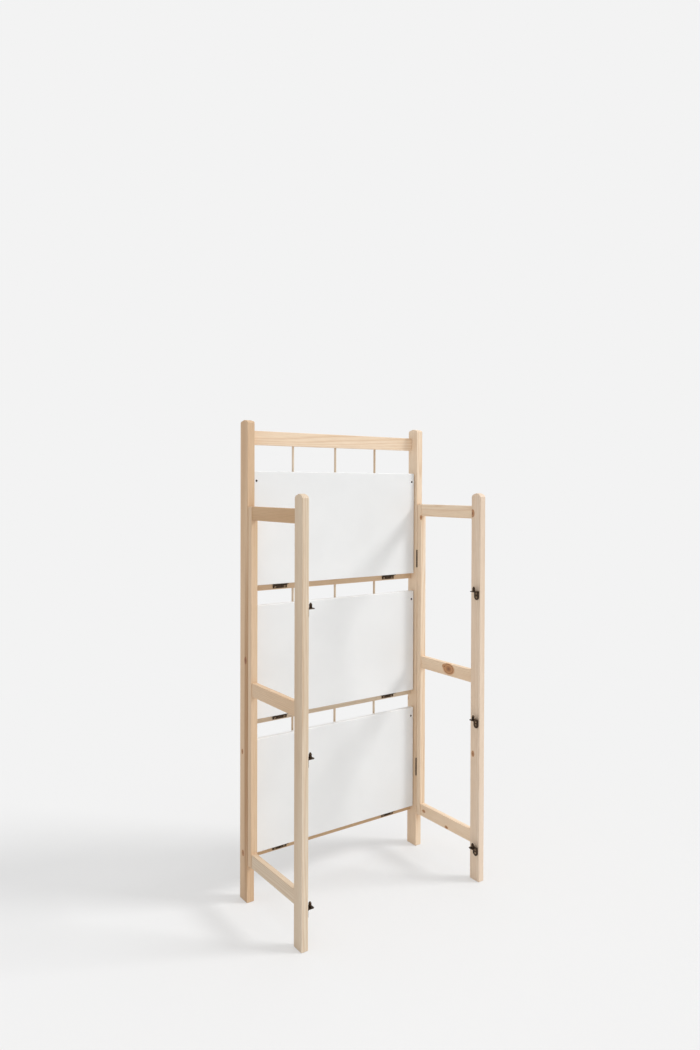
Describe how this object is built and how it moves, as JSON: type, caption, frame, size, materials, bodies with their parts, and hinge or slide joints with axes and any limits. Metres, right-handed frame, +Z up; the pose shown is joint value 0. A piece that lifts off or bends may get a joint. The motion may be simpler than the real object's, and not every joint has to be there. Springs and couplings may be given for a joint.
{
  "type": "folding plant ladder stand",
  "caption": "Folding pine plant stand: an open back frame with hinged white shelf boards that drop on to pegs between two hinged side frames.",
  "frame": {"origin": "on the floor, under the middle of the opened stand", "axes": "+Z up, +Y to the wall behind the stand, +X to the right seen from the front"},
  "size_m": [0.564, 0.293, 1.2],
  "materials": {
    "pine": "planed and clear matt varnished",
    "white_board": "white satin lacquer",
    "bronze": "dark bronzed steel, satin",
    "steel": "darkened steel pins"
  },
  "bodies": {
    "back_frame": {"back_top_rail": "pine", "bottom_shelf_hinge_left_pin": "steel", "bottom_shelf_hinge_left_rail_leaf": "bronze", "bottom_shelf_hinge_right_pin": "steel", "bottom_shelf_hinge_right_rail_leaf": "bronze", "bottom_shelf_rail": "pine", "left_frame_hinge_lower_pin": "steel", "left_frame_hinge_lower_upright_leaf": "bronze", "left_frame_hinge_upper_pin": "steel", "left_frame_hinge_upper_upright_leaf": "bronze", "left_rod": "pine", "left_upright": "pine", "middle_rod": "pine", "middle_shelf_hinge_left_pin": "steel", "middle_shelf_hinge_left_rail_leaf": "bronze", "middle_shelf_hinge_right_pin": "steel", "middle_shelf_hinge_right_rail_leaf": "bronze", "middle_shelf_rail": "pine", "right_frame_hinge_lower_pin": "steel", "right_frame_hinge_lower_upright_leaf": "bronze", "right_frame_hinge_upper_pin": "steel", "right_frame_hinge_upper_upright_leaf": "bronze", "right_rod": "pine", "right_upright": "pine", "top_shelf_hinge_left_pin": "steel", "top_shelf_hinge_left_rail_leaf": "bronze", "top_shelf_hinge_right_pin": "steel", "top_shelf_hinge_right_rail_leaf": "bronze", "top_shelf_rail": "pine"},
    "bottom_shelf": {"bottom_shelf": "white_board", "bottom_shelf_hinge_left_board_leaf": "bronze", "bottom_shelf_hinge_right_board_leaf": "bronze"},
    "middle_shelf": {"middle_shelf": "white_board", "middle_shelf_hinge_left_board_leaf": "bronze", "middle_shelf_hinge_right_board_leaf": "bronze"},
    "top_shelf": {"top_shelf": "white_board", "top_shelf_hinge_left_board_leaf": "bronze", "top_shelf_hinge_right_board_leaf": "bronze"},
    "left_side_frame": {"left_bottom_peg_bracket": "bronze", "left_bottom_side_rail": "pine", "left_frame_hinge_lower_stile_leaf": "bronze", "left_frame_hinge_upper_stile_leaf": "bronze", "left_front_post": "pine", "left_middle_peg_bracket": "bronze", "left_middle_side_rail": "pine", "left_stile": "pine", "left_top_peg_bracket": "bronze", "left_top_side_rail": "pine"},
    "right_side_frame": {"right_bottom_peg_bracket": "bronze", "right_bottom_side_rail": "pine", "right_frame_hinge_lower_stile_leaf": "bronze", "right_frame_hinge_upper_stile_leaf": "bronze", "right_front_post": "pine", "right_middle_peg_bracket": "bronze", "right_middle_side_rail": "pine", "right_stile": "pine", "right_top_peg_bracket": "bronze", "right_top_side_rail": "pine"}
  },
  "joints": [
    {"name": "bottom_shelf_fold", "type": "hinge", "parent": "back_frame", "child": "bottom_shelf", "pos_m": [0, 0.13, 0.1112], "axis": [1, 0, 0], "range_deg": [0, 90]},
    {"name": "middle_shelf_fold", "type": "hinge", "parent": "back_frame", "child": "middle_shelf", "pos_m": [0, 0.13, 0.4477], "axis": [1, 0, 0], "range_deg": [0, 90]},
    {"name": "top_shelf_fold", "type": "hinge", "parent": "back_frame", "child": "top_shelf", "pos_m": [0, 0.13, 0.7842], "axis": [1, 0, 0], "range_deg": [0, 90]},
    {"name": "left_frame_fold", "type": "hinge", "parent": "back_frame", "child": "left_side_frame", "pos_m": [-0.2632, 0.108, 0], "axis": [0, 0, -1], "range_deg": [-90, 0]},
    {"name": "right_frame_fold", "type": "hinge", "parent": "back_frame", "child": "right_side_frame", "pos_m": [0.2632, 0.108, 0], "axis": [0, 0, 1], "range_deg": [-90, 0]}
  ]
}
